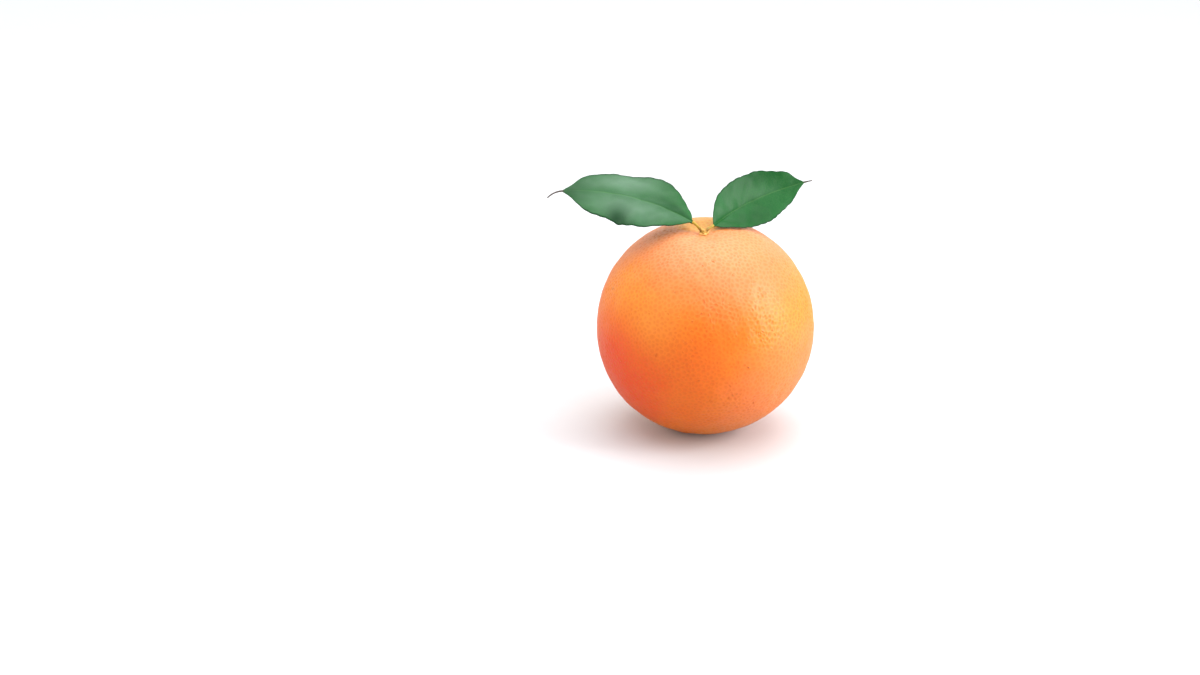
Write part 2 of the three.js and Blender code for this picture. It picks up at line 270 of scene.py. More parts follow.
# The triangles that join each direction to its neighbours, all facing out
def neighbourTriangles(directions):
    hull = bmesh.new()
    corners = [hull.verts.new(d) for d in directions]
    hull.verts.index_update()
    bmesh.ops.convex_hull(hull, input=corners)
    bmesh.ops.triangulate(hull, faces=hull.faces)
    triangles = np.array([[v.index for v in face.verts] for face in hull.faces])
    hull.free()
    a, b, c = (directions[triangles[:, k]] for k in range(3))
    inward = (np.cross(b - a, c - a) * a).sum(1) < 0
    triangles[inward] = triangles[inward][:, ::-1]
    return triangles


# A sum of waves that run all ways over the fruit, each about one pitch long
def slowWaves(random, directions, pitch, count):
    waves = unit(random.normal(size=(count, 3))) * math.pi * fruit["width"] / pitch
    waves *= random.uniform(0.7, 1.3, (count, 1))
    return np.sin(directions @ waves.T + random.uniform(0, 2 * math.pi, count)).sum(1)


def makePeel():
    random = np.random.default_rng(fruit["seed"])
    count = fruit["pits"]
    order = np.arange(count)
    height = 1 - (2 * order + 1) / count
    turn = order * math.pi * (3 - math.sqrt(5))
    across = np.sqrt(1 - height ** 2)
    spacing = math.sqrt(4 * math.pi / count)
    pits = np.c_[across * np.cos(turn), across * np.sin(turn), height]
    pits = unit(pits + random.uniform(-1, 1, pits.shape) * fruit["pitJitter"] * spacing)

    triangles = neighbourTriangles(pits)
    faceCount = len(triangles)
    land = unit(pits[triangles].mean(1))
    depth = random.uniform(*fruit["pitDepth"], count)
    mouth = random.uniform(*fruit["pitMouth"], count)
    corner = triangles.ravel()
    cornerLand = np.repeat(land, 3, axis=0)
    rim = unit(pits[corner] + (cornerLand - pits[corner]) * mouth[corner][:, None])

    directions = np.vstack([pits, land, rim])
    coarseness = slowWaves(random, pits, fruit["coarsePitch"], fruit["coarseWaves"])
    coarse = smoothstep(coarseness, fruit["coarseFrom"], fruit["coarseTo"])
    depth *= fruit["shallowest"] + (1 - fruit["shallowest"]) * coarse
    sunk = np.concatenate([
        depth,
        random.uniform(-1, 1, faceCount) * fruit["landUnevenness"],
        fruit["rimDepth"] * depth[corner],
    ])
    sunk += fruit["rippleHeight"] * slowWaves(random, directions, fruit["ripplePitch"], fruit["ripples"])
    points = directions * (peelRadius(directions) - sunk)[:, None] @ fruitLean.T + fruitCentre
    points[:, 2] = np.maximum(points[:, 2], 0)

    # Each half-edge a to b of one triangle has its twin, b to a, in the next one round the pit a
    tail, head = corner, np.roll(triangles, -1, axis=1).ravel()
    key, twinKey = tail * count + head, head * count + tail
    sortedKeys = np.argsort(key)
    twin = sortedKeys[np.searchsorted(key, twinKey, sorter=sortedKeys)]
    face, twinFace = np.arange(3 * faceCount) // 3, twin // 3
    rimStart = count + faceCount
    nearRim = rimStart + np.arange(3 * faceCount)
    farRim = rimStart + 3 * twinFace + (twin % 3 + 1) % 3
    floors = np.c_[tail, farRim, nearRim]
    slopes = np.c_[farRim, count + twinFace, count + face, nearRim]

    pitMask = np.concatenate([np.ones(count), np.zeros(faceCount), np.full(3 * faceCount, 0.6)])
    return meshPiece("peel", points, floors.tolist() + slopes.tolist(), {"pit": pitMask})


peelColours = {
    "body": "#ec7611",
    "golden": "#f19728",
    # pale colour of painted light: the floor's light reflected on the lower right, and a painted
    # highlight over the top's own paler tone
    "paleToneAndPaintedLight": "#ed8a60",
    "blush": "#f0660a",
    # red cheek colour, which also paints red light reflected onto the lower left
    "redCheekAndPaintedReflection": "#e43200",
    # crown colour, partly the peel's own tone and partly painted light from above
    "crown": "#dc9c6a",
    "stemFlush": "#dca63a",
    "pit": "#d65c06",
    "mark": "#a3602c",
}

# Where colour gathers on the peel, as directions from the middle of the fruit, laid on in this order;
# several of these patches are painted light and painted reflection
peelCheeks = [
    # golden right side: partly its own tone, partly painted light from the right
    {"tone": "golden", "amount": 0.5, "towards": (0.8, -0.35, 0.3),
     "core": 1.0, "edge": 0.35, "ragged": 0.4},
    {"tone": "blush", "amount": 0.75, "towards": (-0.22, -0.95, -0.15),
     "core": 1.03, "edge": 0.5, "ragged": 0.4},
    # golden upper left front: partly its own tone, partly painted light from the front left
    {"tone": "golden", "amount": 0.6, "towards": (-0.56, -0.66, 0.5),
     "core": 1.0, "edge": 0.75, "ragged": 0.2},
    # painted reflection of the floor's light on the lower right
    {"tone": "paleToneAndPaintedLight", "amount": 0.5, "towards": (0.72, -0.5, -0.5),
     "core": 1.0, "edge": 0.6, "ragged": 0.3},
    # painted reflection: red light from beside the fruit, laid on the lower left as a red cheek
    {"tone": "redCheekAndPaintedReflection", "amount": 0.97, "towards": (-0.8, -0.5, -0.28),
     "core": 1.0, "edge": 0.68, "ragged": 0.16},
    # paler top: partly the peel's own tone, partly a painted highlight of the light from above
    {"tone": "paleToneAndPaintedLight", "amount": 0.8, "towards": (0.15, -0.25, 1.0),
     "core": 1.0, "edge": 0.5, "ragged": 0.25},
    # paler crown round the stem end, partly its own tone and partly painted light from above
    {"tone": "crown", "amount": 0.62, "towards": (0.0, -0.2, 1.0),
     "core": 0.97, "edge": 0.78, "ragged": 0.08},
    {"tone": "stemFlush", "amount": 0.9, "towards": (-0.03, 0.13, 1.0),
     "core": 0.988, "edge": 0.95, "ragged": 0.04},
]

peelFinish = {
    "patches": 45.0,            # scale of the mottling, and its share of the colour
    "patchShare": 0.45,
    "flecks": 900.0,
    "fleckShare": 0.1,
    "pitShare": 0.5,
    "marks": 130.0,             # rare brown marks
    "markFrom": 0.7,
    "markTo": 0.76,
    "markShare": 0.5,
    "roughness": (0.42, 0.5),
    "specular": 0.5,
    "specularTint": (1, 0.88, 0.7, 1),
    "wax": 0.05,
    "waxRoughness": 0.34,
    "glow": 0.12,               # light that sinks into the peel, and how deep in mm
    "glowDepth": 2.5,
}


def makePeelMaterial():
    material, nodes, shader = newMaterial("grapefruitPeel")
    place = nodes.place()
    offset = nodes.add("ShaderNodeVectorMath", {0: place, 1: tuple(fruitCentre * mm)},
                       operation="SUBTRACT").outputs[0]
    direction = nodes.add("ShaderNodeVectorMath", {0: offset}, operation="NORMALIZE").outputs[0]

    mottle = useGroup(nodes, mottleGroup, Place=place, Patches=peelFinish["patches"],
                      Flecks=peelFinish["flecks"])
    colour = nodes.tint(mottle["Patch"], peelFinish["patchShare"],
                        linear(peelColours["body"]), peelColours["golden"])
    for spot in peelCheeks:
        cheek = useGroup(nodes, cheekGroup, Direction=direction, Towards=spot["towards"],
                         Core=spot["core"], Edge=spot["edge"], Ragged=spot["ragged"])
        colour = nodes.tint(cheek["Mask"], spot["amount"], colour, peelColours[spot["tone"]])
    colour = nodes.tint(nodes.attribute("pit"), peelFinish["pitShare"], colour, peelColours["pit"])
    colour = nodes.tint(mottle["Fleck"], peelFinish["fleckShare"], colour, peelColours["golden"])
    marks = nodes.noise(place, peelFinish["marks"], detail=3, roughness=0.7)
    marks = nodes.rescale(marks, peelFinish["markFrom"], peelFinish["markTo"], 0, peelFinish["markShare"])
    colour = nodes.mix(marks, colour, linear(peelColours["mark"]))

    grain = useGroup(nodes, grainGroup, Place=place, Scale=2600.0, Strength=0.25, Depth=0.1 * mm)
    nodes.fill(shader, {
        "Base Color": colour,
        "Roughness": nodes.rescale(mottle["Fleck"], 0, 1, *peelFinish["roughness"]),
        "Normal": grain["Normal"],
        "Specular IOR Level": peelFinish["specular"],
        "Specular Tint": peelFinish["specularTint"],
        "Coat Weight": peelFinish["wax"],
        "Coat Roughness": peelFinish["waxRoughness"],
        "Subsurface Weight": peelFinish["glow"],
        "Subsurface Radius": (1.0, 0.45, 0.2),
        "Subsurface Scale": peelFinish["glowDepth"] * mm,
    })
    return material


peel = makePeel()
dress(peel, makePeelMaterial(), "fruit")
print("peel made:", len(peel.data.polygons), "faces")


# The leaves

blade = {
    "thickness": 0.5,
    "marginThickness": 0.3,
    "ribDepth": 0.7,
    "ribWidth": 0.9,
    "grooveDepth": 0.25,
    "grooveWidth": 0.55,
    "veins": 11,                # on each side of the midrib
    "veinLean": 0.75,           # how far a vein runs tipwards for each millimetre outwards
    "veinCurve": 0.018,
    "veinStagger": 0.45,        # how far the far half's veins are out of step, as a share of a gap
    "veinWidth": 0.55,
    "veinDepth": 0.015,
    "veinRelief": 0.18,         # how far the side veins stand out underneath
    "quilting": 0.012,
    "channelWidth": 2.6,        # by the midrib the far half climbs within this, near the base
    "channelHeight": 1.3,
    "channelLength": 0.42,
    "baseHalfWidth": 0.8,
    "baseReach": 0.2,           # share of the length over which the fold of the base fades
    "tipFrom": 0.82,
    "tailHalfWidth": 0.5,
    "teeth": 13,
    "toothDepth": 0.3,
    "toothMiddle": 0.6,         # share of a tooth's depth at which the plain margin runs
    "smoothBelow": 2,           # a half narrower than this has no waves, dips or teeth
    "wavyFrom": 9,
    "dipsFrom": 0.3,            # share of the way from the midrib to the margin
    "lumps": 0.035,             # height of the slow unevenness of the blade at a middling pitch
    "lumpWaves": 14,
    "lumpPitch": (5, 13),
    "rows": 190,
    "columns": 44,
    "crowding": 1.35,           # above 1, columns are closer together at the midrib
    "intoJoint": 0.9,           # how far the blade's foot runs back into its petiole's joint
}

leaves = {
    "left": {
        "side": -1, "base": (-7.5, -8.5, 111.1), "length": 67.8, "width": 35.4,
        "nearWidest": 0.98, "farWidest": 0.89, "bluntness": 0.8, "tipNarrowing": 0.34,
        "yaw": 20.3, "sweep": -18.4, "rise": 23.2, "droop": 28, "roll": 21.5, "twist": -8.8,
        "nearFold": -12.4, "farFold": 6.6, "baseFold": 0, "tail": 8.5, "tailDroop": 40,
        "waves": 1.97, "nearWave": 0.4, "farWave": 1.45, "nearPhase": 241, "farPhase": 243,
        "dips": [{"at": 0.3, "spread": 0.06, "depth": 1.1},
                 {"at": 0.5, "spread": 0.045, "depth": 1.3}],
        "nearSwells": [{"at": 0.79, "spread": 0.13, "width": 2.8},
                       {"at": 0.42, "spread": 0.05, "width": 0.8}],
        "farSwells": [{"at": 0.89, "spread": 0.07, "width": 2.6},
                      {"at": 0.64, "spread": 0.08, "width": 0.8}],
        # painted shade and painted sheen, by shares of the length and of the half width, above 0 on the
        # near half
        # painted shade: by the midrib near the base, in the dent and at the tip
        "deepPlaces": [{"at": (0.12, -0.2), "spread": (0.22, 0.2), "amount": 0.5},
                       {"at": (0.53, 0.95), "spread": (0.085, 0.5), "amount": 1},
                       {"at": (0.45, 1.02), "spread": (0.13, 0.2), "amount": 0.8},
                       {"at": (0.98, 0), "spread": (0.17, 1.4), "amount": 0.6}],
        "bloomPlaces": [{"at": (0.42, 0.42), "spread": (0.4, 0.5), "amount": 0.95},
                        {"at": (0.6, -0.6), "spread": (0.3, 0.45), "amount": 0.95}],
        "seed": 5,
    },
    "right": {
        "side": 1, "base": (3.5, -6, 108.7), "length": 60.6, "width": 27.4,
        "nearWidest": 0.83, "farWidest": 0.86, "bluntness": 0.67, "tipNarrowing": 0.42,
        "yaw": 56.5, "sweep": -34.4, "rise": 14.5, "droop": 4.4, "roll": 32.7, "twist": 39,
        "nearFold": 13.7, "farFold": 17, "baseFold": 17.8, "tail": 4.5, "tailDroop": 5,
        "waves": 2.32, "nearWave": 0.6, "farWave": 0.5, "nearPhase": 36, "farPhase": 149,
        "dips": [{"at": 0.4, "spread": 0.08, "depth": 0.4}],
        "nearSwells": [{"at": 0.5, "spread": 0.1, "width": 0.6}],
        "farSwells": [{"at": 0.87, "spread": 0.05, "width": 1.1},
                      {"at": 0.61, "spread": 0.06, "width": 0.7},
                      {"at": 0.17, "spread": 0.08, "width": 0.6}],
        # painted shade on the near half, at the tip and on the far half
        "deepPlaces": [{"at": (0.4, 0.6), "spread": (0.3, 0.4), "amount": 0.35},
                       {"at": (0.97, -0.2), "spread": (0.12, 1.2), "amount": 0.2},
                       {"at": (0.55, -0.8), "spread": (0.25, 0.3), "amount": 0.3}],
        "bloomPlaces": [{"at": (0.2, -0.5), "spread": (0.2, 0.4), "amount": 0.2},
                        {"at": (0.66, -0.1), "spread": (0.25, 0.4), "amount": 0.06}],
        "seed": 8,
    },
}


def tailShare(leaf, u):
    return np.maximum(0, u - 1) * leaf["length"] / leaf["tail"]


# Unit vectors along the midrib, at shares u of the blade's length
def alongMidrib(leaf, u):
    yaw = np.radians(leaf["yaw"] + leaf["sweep"] * u)
    rise = np.radians(leaf["rise"] - leaf["droop"] * u - leaf["tailDroop"] * tailShare(leaf, u))
    return np.stack([leaf["side"] * np.cos(yaw) * np.cos(rise), np.sin(yaw) * np.cos(rise),
                     np.sin(rise)], axis=-1)


def bell(u, at, spread):
    return np.exp(-(((u - at) / spread) ** 2))


def broadness(width):
    return smoothstep(width, blade["smoothBelow"], blade["wavyFrom"])


# The width of one half: an oval that narrows to its tail, with blunt teeth on its margin
def halfWidth(leaf, u, isNear):
    inBlade = np.clip(u, 0, 1) ** np.where(isNear, leaf["nearWidest"], leaf["farWidest"])
    oval = np.maximum(0, np.sin(math.pi * inBlade)) ** leaf["bluntness"]
    narrowing = 1 - leaf["tipNarrowing"] * smoothstep(u, blade["tipFrom"], 1)
    body = leaf["width"] / 2 * oval * narrowing
    for half, swells in ((isNear, leaf["nearSwells"]), (~isNear, leaf["farSwells"])):
        for swell in swells:
            body = body + half * swell["width"] * bell(u, swell["at"], swell["spread"])
    scallops = np.abs(np.sin(math.pi * blade["teeth"] * u)) - blade["toothMiddle"]
    toothed = body + blade["toothDepth"] * scallops * broadness(body)
    tail = blade["tailHalfWidth"] * (1 - 0.5 * tailShare(leaf, u))
    return np.maximum(toothed, np.where(u < 0.5, blade["baseHalfWidth"], tail))


# Midrib points, with unit vectors to the near side and up, for each share u
def midribFrames(leaf, u):
    middles = (u[1:] + u[:-1]) / 2
    steps = alongMidrib(leaf, middles) * (np.diff(u) * leaf["length"])[:, None]
    points = np.vstack([np.zeros(3), np.cumsum(steps, axis=0)])
    points += np.array(leaf["base"]) + alongMidrib(leaf, np.zeros(1))[0] * u[0] * leaf["length"]
    along = alongMidrib(leaf, u)
    near = unit(np.cross(along, up * leaf["side"]))
    above = np.cross(near, along) * leaf["side"]
    roll = np.radians(leaf["roll"] + leaf["twist"] * u)[:, None]
    return (points, near * np.cos(roll) - above * np.sin(roll),
            above * np.cos(roll) + near * np.sin(roll))


# How close each place of the blade is to a side vein, from 0 to 1, and its height between veins
def sideVeins(leaf, alongMm, acrossMm):
    out = np.abs(acrossMm)
    spacing = leaf["length"] / blade["veins"]
    phase = (alongMm - blade["veinLean"] * out - blade["veinCurve"] * out ** 2) / spacing
    phase = phase + np.where(acrossMm < 0, blade["veinStagger"], 0)
    toVein = np.abs(phase - np.round(phase)) * spacing
    return np.exp(-((toVein / blade["veinWidth"]) ** 2)), 0.5 - 0.5 * np.cos(2 * math.pi * phase)


def makeLeaf(name, leaf):
    rows, columns = blade["rows"], blade["columns"]
    start = -blade["intoJoint"] / leaf["length"]
    end = 1 + leaf["tail"] / leaf["length"]
    u = np.linspace(start, end, rows + 1)
    points, near, above = midribFrames(leaf, u)
    share = np.linspace(-1, 1, columns + 1)
    v = np.sign(share) * np.abs(share) ** blade["crowding"]
    isNear = v > 0
    width = halfWidth(leaf, u[:, None], isNear)
    reach = width * np.abs(v)
    across = reach * np.sign(v)
    nearBase = bell(u, 0, blade["baseReach"])[:, None]
    farFold = leaf["farFold"] + leaf["baseFold"] * nearBase
    fold = np.radians(np.where(isNear, leaf["nearFold"], farFold))
    phase = np.radians(np.where(isNear, leaf["nearPhase"], leaf["farPhase"]))
    height = np.where(isNear, leaf["nearWave"], leaf["farWave"])
    wave = height * v ** 2 * np.sin(2 * math.pi * leaf["waves"] * u[:, None] + phase)
    dips = sum(dip["depth"] * bell(u, dip["at"], dip["spread"]) for dip in leaf["dips"])
    lift = (wave - dips[:, None] * smoothstep(v, blade["dipsFrom"], 1)) * broadness(width)
    channel = blade["channelHeight"] * bell(u, 0, blade["channelLength"])[:, None]
    climb = 1 - np.exp(-reach / blade["channelWidth"])
    lift = lift + np.where(isNear, 0, channel * climb * (1 - np.abs(v)) * broadness(width))
    alongMm = np.repeat(u[:, None] * leaf["length"], columns + 1, axis=1)
    random = np.random.default_rng(leaf["seed"])
    for pitch in random.uniform(*blade["lumpPitch"], blade["lumpWaves"]):
        turn, phaseShift = random.uniform(0, 2 * math.pi, 2)
        path = alongMm * math.cos(turn) + across * math.sin(turn)
        lump = np.sin(2 * math.pi * path / pitch + phaseShift)
        lift = lift + blade["lumps"] * pitch / np.mean(blade["lumpPitch"]) * lump * broadness(width)
    vein, between = sideVeins(leaf, alongMm, across)
    inside = smoothstep(1 - np.abs(v), 0.02, 0.3) * smoothstep(reach, 0.5, 3)
    quilt = (blade["quilting"] * between - blade["veinDepth"] * vein) * inside
    middle = (points[:, None] + near[:, None] * (np.sign(v) * reach * np.cos(fold))[..., None]
              + above[:, None] * (reach * np.sin(fold) + lift + quilt)[..., None])

    thickness = blade["marginThickness"] + (blade["thickness"] - blade["marginThickness"]) * (
        1 - np.abs(v) ** 3)
    fade = np.clip(1 - np.maximum(u, 0), 0.15, 1)[:, None]
    groove = blade["grooveDepth"] * np.exp(-((across / blade["grooveWidth"]) ** 2)) * fade
    rib = blade["ribDepth"] * np.exp(-((across / blade["ribWidth"]) ** 2)) * fade
    ribs = blade["veinRelief"] * vein * inside
    top = middle + above[:, None] * (thickness / 2 - groove)[..., None]
    bottom = middle - above[:, None] * (thickness / 2 + rib + ribs)[..., None]

    index = np.arange((rows + 1) * (columns + 1)).reshape(rows + 1, columns + 1)
    quads = np.stack([index[:-1, :-1], index[:-1, 1:], index[1:, 1:], index[1:, :-1]], axis=-1)
    faces = quads.reshape(-1, 4).tolist()
    faces += (quads[..., ::-1] + index.size).reshape(-1, 4).tolist()
    rim = np.concatenate([index[:, 0], index[-1, 1:], index[-2::-1, -1], index[0, -2:0:-1]])
    rimUnder = rim + index.size
    faces += np.stack([rim, np.roll(rim, -1), np.roll(rimUnder, -1), rimUnder], axis=-1).tolist()
    if leaf["side"] < 0:
        faces = [face[::-1] for face in faces]

    side = np.repeat([1.0, -1.0], index.size)
    place = np.c_[np.tile(alongMm.ravel(), 2), np.tile(across.ravel(), 2), side]
    margin = np.tile(np.broadcast_to(np.abs(v), across.shape).ravel(), 2)
    attributes = {"bladePlace": place, "margin": margin}
    # masks of painted shade and painted sheen over the blade
    for key in ("deep", "bloom"):
        mask = np.zeros(across.shape)
        for spot in leaf[key + "Places"]:
            (u0, v0), (du, dv) = spot["at"], spot["spread"]
            mask = np.maximum(mask, spot["amount"] * bell(u[:, None], u0, du) * bell(v, v0, dv))
        attributes[key] = np.tile(mask.ravel(), 2)
    both = np.vstack([top.reshape(-1, 3), bottom.reshape(-1, 3)])
    return meshPiece(name, both, faces, attributes)


leafColours = {
    "upper": "#0c551f",
    "upperYoung": "#15612a",
    # grey-green of a painted sheen, where a blade would catch a reflection of its bright surroundings
    "bloom": "#5b7f65",
    "under": "#5f8048",
    "vein": "#4a7f40",
    # dark margin colour, also laid as the painted shade
    "edge": "#083818",
    "dry": "#5a504b",
}


leafFinish = {
    "patches": 70.0,            # scale of the mottling, and its share of the colour
    "patchShare": 0.5,
    "flecks": 1500.0,
    "fleckShare": 0.12,
    "sideVein": 0.22,           # how plainly the side veins, the fine net and all veins show
    "net": 0.15,
    "veinShare": 0.3,
    "edgeShare": 0.8,
    "dryFrom": 0.975,           # share of the length at which the dry tail begins
    "dryTo": 1.01,
    "roughness": (0.38, 0.48),
    "underRoughness": 0.25,     # more on the underside
    "specular": 0.17,
    "glow": 0.08,               # light that sinks into the blade, and how deep in mm
    "glowDepth": 0.6,
}


# The same side veins as in the mesh, drawn finer, with the midrib and the net between them
def leafVeins(nodes, leaf, onBlade, along, across, wander):
    out = nodes.math("ABSOLUTE", across)
    spacing = leaf["length"] / blade["veins"]
    bend = nodes.math("MULTIPLY", nodes.math("POWER", out, 2.0), blade["veinCurve"])
    run = nodes.math("MULTIPLY_ADD", out, blade["veinLean"], bend)
    phase = nodes.math("DIVIDE", nodes.math("SUBTRACT", along, run), spacing)
    onFarHalf = nodes.math("LESS_THAN", across, 0)
    phase = nodes.math("ADD", phase, nodes.math("MULTIPLY", onFarHalf, blade["veinStagger"]))
    phase = nodes.math("ADD", phase, nodes.math("MULTIPLY", wander, 0.2))
    toVein = nodes.math("MULTIPLY", nodes.math("PINGPONG", phase, 0.5), spacing)
    sideVein = nodes.rescale(toVein, 0.1, 0.4, leafFinish["sideVein"], 0)
    inside = nodes.rescale(nodes.attribute("margin"), 0.55, 0.95, 1, 0)
    sideVein = nodes.math("MULTIPLY", sideVein, inside)
    midrib = nodes.rescale(out, 0.15, 0.5, 1, 0)
    net = nodes.add("ShaderNodeTexVoronoi", {"Vector": onBlade, "Scale": 0.75},
                    feature="DISTANCE_TO_EDGE").outputs["Distance"]
    net = nodes.rescale(net, 0.02, 0.12, leafFinish["net"], 0)
    return nodes.math("MAXIMUM", nodes.math("MAXIMUM", midrib, sideVein), net)


def makeLeafMaterial(name, leaf):
    material, nodes, shader = newMaterial(name)
    place = nodes.place()
    onBlade = nodes.attribute("bladePlace", "Vector")
    parts = nodes.add("ShaderNodeSeparateXYZ", {0: onBlade}).outputs
    along, across, side = parts["X"], parts["Y"], parts["Z"]
    wander = nodes.math("MULTIPLY", nodes.math("SUBTRACT", nodes.noise(onBlade, 0.35), 0.5), 0.5)
    veins = leafVeins(nodes, leaf, onBlade, along, across, wander)

    mottle = useGroup(nodes, mottleGroup, Place=place, Patches=leafFinish["patches"],
                      Flecks=leafFinish["flecks"])
    upper = nodes.tint(mottle["Patch"], leafFinish["patchShare"],
                       linear(leafColours["upper"]), leafColours["upperYoung"])
    upper = nodes.tint(mottle["Fleck"], leafFinish["fleckShare"], upper, leafColours["vein"])
    patchy = nodes.rescale(mottle["Patch"], 0, 1, 0.8, 1)
    # painted sheen laid over the upper side
    upper = nodes.tint(nodes.attribute("bloom"), patchy, upper, leafColours["bloom"])
    colour = nodes.mix(nodes.rescale(side, -0.2, 0.2), linear(leafColours["under"]), upper)
    colour = nodes.tint(veins, leafFinish["veinShare"], colour, leafColours["vein"])
    edge = nodes.rescale(nodes.attribute("margin"), 0.9, 1.0, 0, leafFinish["edgeShare"])
    # the dark margin and the painted shade both take the darkest green
    deep = nodes.math("MAXIMUM", edge, nodes.attribute("deep"))
    colour = nodes.mix(deep, colour, linear(leafColours["edge"]))
    dry = nodes.math("ADD", along, nodes.math("MULTIPLY", wander, 6.0))
    dry = nodes.rescale(dry, leaf["length"] * leafFinish["dryFrom"], leaf["length"] * leafFinish["dryTo"])
    colour = nodes.mix(dry, colour, linear(leafColours["dry"]))

    grain = useGroup(nodes, grainGroup, Place=place, Scale=2200.0, Strength=0.15, Depth=0.1 * mm)
    sunkVeins = nodes.add("ShaderNodeBump", {
        "Strength": 0.2,
        "Distance": 0.15 * mm,
        "Height": nodes.math("SUBTRACT", 1.0, veins),
        "Normal": grain["Normal"],
    })
    roughness = nodes.rescale(mottle["Fleck"], 0, 1, *leafFinish["roughness"])
    underneath = nodes.rescale(side, -0.2, 0.2, leafFinish["underRoughness"], 0)
    nodes.fill(shader, {
        "Base Color": colour,
        "Roughness": nodes.math("ADD", roughness, underneath),
        "Normal": sunkVeins.outputs["Normal"],
        "Specular IOR Level": leafFinish["specular"],
        "Subsurface Weight": leafFinish["glow"],
        "Subsurface Radius": (0.4, 1.0, 0.3),
        "Subsurface Scale": leafFinish["glowDepth"] * mm,
    })
    return material


for leafName, leaf in leaves.items():
    piece = makeLeaf("leafBlade_" + leafName, leaf)
    dress(piece, makeLeafMaterial("leafSkin_" + leafName, leaf), "leaf_" + leafName)
    print("leaf blade made:", leafName, len(piece.data.polygons), "faces")


# The calyx: a five-lobed button in the stem basin

calyx = {
    "lobes": 5,
    "notchRadius": 1.9,
    "lobeRadius": 2.6,
    "thickness": 0.8,
    "edgeThickness": 0.3,
    "cupping": 0.03,
    "clearance": 0.35,          # in the solid model, and closed here
    "intoPeel": 0.25,
    "skirt": 0.2,               # how much deeper its margin sits
    "ridgeHeight": 0.12,        # along each lobe
    "wrinkles": 23,
    "wrinkleHeight": 0.07,
    "turns": 150,
    "rings": 16,
}


def makeCalyx():
    turns, rings = calyx["turns"], calyx["rings"]
    turn = np.arange(turns) * 2 * math.pi / turns
    lobe = 0.5 + 0.5 * np.cos(calyx["lobes"] * turn)
    reach = calyx["notchRadius"] + (calyx["lobeRadius"] - calyx["notchRadius"]) * lobe
    share = np.sin(np.linspace(0, math.pi / 2, rings + 1))[1:, None]
    radius = share * reach
    x, y = radius * np.cos(turn), radius * np.sin(turn)
    base = calyx["clearance"] + calyx["cupping"] * radius ** 2
    crown = calyx["edgeThickness"] + (calyx["thickness"] - calyx["edgeThickness"]) * (1 - share ** 3)
    ridge = np.cos(calyx["lobes"] * turn) * calyx["ridgeHeight"] * share
    wrinkle = np.sin(calyx["wrinkles"] * turn + 3 * np.sin(2 * turn)) * calyx["wrinkleHeight"] * share
    rounding = np.where(share > 0.97, 0.5, 1)      # the last rings turn down
    over = base + crown * rounding + ridge + wrinkle
    below = base - calyx["intoPeel"] - calyx["skirt"] * share
    points = [(0, 0, calyx["clearance"] + calyx["thickness"])]
    points += np.stack([x, y, over], axis=-1).reshape(-1, 3).tolist()
    points += np.stack([x, y, below], axis=-1).reshape(-1, 3)[-turns:].tolist()
    points += [(0, 0, calyx["clearance"] - calyx["intoPeel"])]
    ring = 1 + np.arange((rings + 1) * turns).reshape(rings + 1, turns)
    after = np.roll(ring, -1, axis=1)
    faces = np.stack([np.zeros(turns, int), ring[0], after[0]], axis=-1).tolist()
    faces += np.stack([ring[:-1], ring[1:], after[1:], after[:-1]], axis=-1).reshape(-1, 4).tolist()
    faces += np.stack([np.full(turns, len(points) - 1), after[-1], ring[-1]], axis=-1).tolist()
    edge = np.concatenate([[0], np.repeat(share.ravel(), turns), np.ones(turns), [0]])
    placed = np.array(points) @ fruitLean.T + stemEnd
    return meshPiece("calyxButton", placed, faces, {"edge": edge})


calyxColours = {"middle": "#e0b860", "lobe": "#e8bd66", "edge": "#d8a552", "fleck": "#eccb8a"}


def makeCalyxMaterial():
    material, nodes, shader = newMaterial("calyxSkin")
    place = nodes.place()
    mottle = useGroup(nodes, mottleGroup, Place=place, Patches=400.0, Flecks=2600.0)
    edge = nodes.attribute("edge")
    colour = nodes.mix(nodes.rescale(edge, 0.2, 0.8), linear(calyxColours["middle"]),
                       linear(calyxColours["lobe"]))
    colour = nodes.mix(nodes.rescale(edge, 0.85, 1.0, 0, 0.5), colour, linear(calyxColours["edge"]))
    colour = nodes.tint(mottle["Fleck"], 0.35, colour, calyxColours["fleck"])
    colour = nodes.tint(mottle["Patch"], 0.25, colour, calyxColours["edge"])
    grain = useGroup(nodes, grainGroup, Place=place, Scale=3500.0, Strength=0.5, Depth=0.2 * mm)
    nodes.fill(shader, {
        "Base Color": colour,
        "Roughness": nodes.rescale(mottle["Fleck"], 0, 1, 0.6, 0.8),
        "Normal": grain["Normal"],
    })
    return material


button = makeCalyx()
dress(button, makeCalyxMaterial(), "calyx")
print("calyx made:", len(button.data.polygons), "faces")


# The stalk: a stub of twig with a petiole bent to each leaf, grown together

stalk = {
    "radius": 1.45,
    "footRadius": 1.8,
    "footHeight": 0.4,
    "length": 1,
    "bevel": 0.2,
    "clearance": 0.3,           # in the solid model, and closed here
    "intoCalyx": 0.5,
    "ribs": 7,
    "ribHeight": 0.07,
    "sides": 48,
    "cutRim": 0.3,              # how far in from the bark the cut face begins
    "petioleRadius": 0.62,
    "petioleWaist": 0.86,       # share of the radius left midway
    "petioleSwelling": 0.28,    # at its root, fading over a share of its length
    "swellingReach": 0.45,
    "petioleFromAxis": 1.25,    # where it leaves the twig
    "petioleFromFoot": 0.5,
    "petioleArch": 0.08,        # share of its length
    "petioleSteps": 26,
    "petioleSides": 24,
    "jointRadius": 0.75,
    "jointLength": 1.5,
    "jointFromEnd": 0.8,
    "jointFullness": 1.4,
    "endNarrowing": 0.55,       # share of the radius left at the very end, inside the blade
    "rootStep": 2,              # the step of the petiole's path that its dark root is centred on
    "rootBelow": 0.2,
    "rootSpread": 1.3,          # how far the dark of a petiole's root reaches
    "gapToBlade": 0.35,
    "voxel": 0.11,
}
